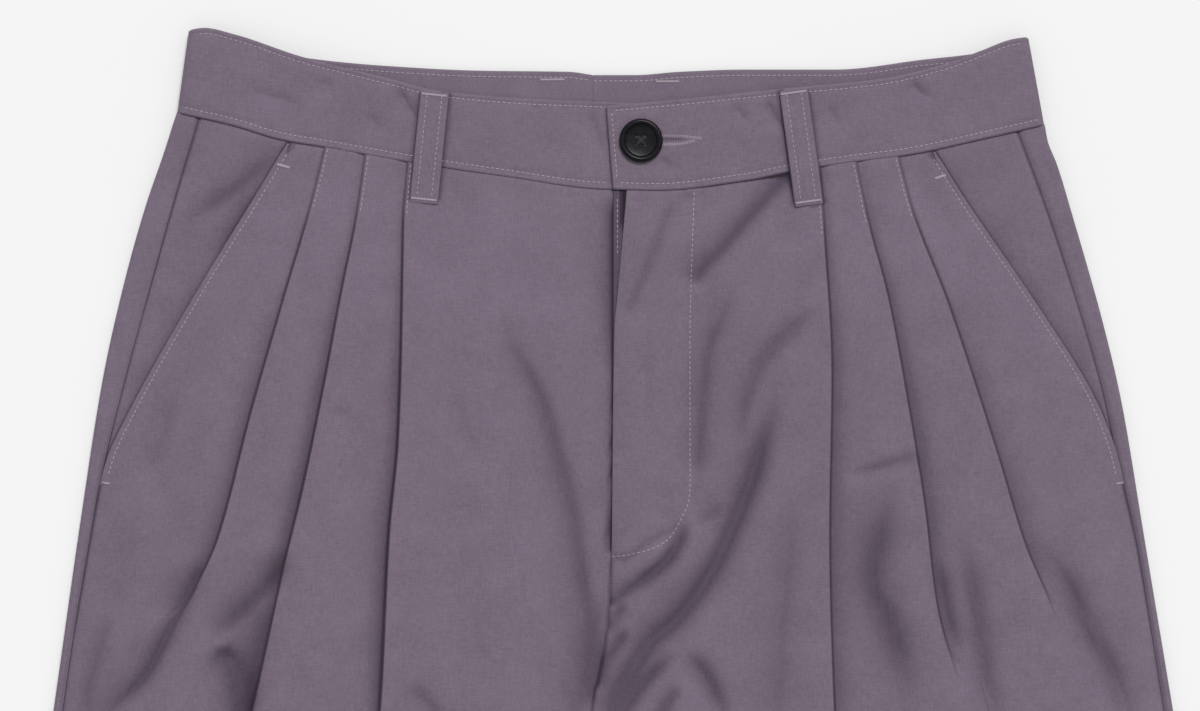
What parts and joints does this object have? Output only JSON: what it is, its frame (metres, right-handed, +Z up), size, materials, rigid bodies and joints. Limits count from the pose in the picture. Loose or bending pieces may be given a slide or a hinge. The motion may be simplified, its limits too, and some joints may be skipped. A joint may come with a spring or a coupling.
{
  "type": "pleated dress trousers",
  "caption": "Dress trousers with outward front pleats, slanted pockets, waistband, belt loops and a buttoned fly tab, laid flat with the front up.",
  "frame": {"origin": "on the surface the trousers lie on, under the middle of their outline", "axes": "+Y towards the waist, +X towards the wearer's left, +Z up out of the front of the trousers"},
  "size_m": [0.6, 1.0726, 0.0109],
  "materials": {
    "suiting": "matt, fine plain weave, mauve grey",
    "zip_tape": "matt black woven tape",
    "button": "glossy dark resin"
  },
  "bodies": {
    "root": {"waistband_left": "suiting", "waistband_right": "suiting", "front_left": "suiting", "front_right": "suiting", "back_left": "suiting", "back_right": "suiting", "pocket_facing_left": "suiting", "pocket_facing_right": "suiting", "loop_back_left": "suiting", "loop_back_right": "suiting", "loop_side_left": "suiting", "loop_side_right": "suiting", "loop_front_left": "suiting", "loop_front_right": "suiting", "fly_facing": "suiting", "fly_underlap": "suiting", "zip_tape": "zip_tape", "button": "button"}
  },
  "joints": []
}
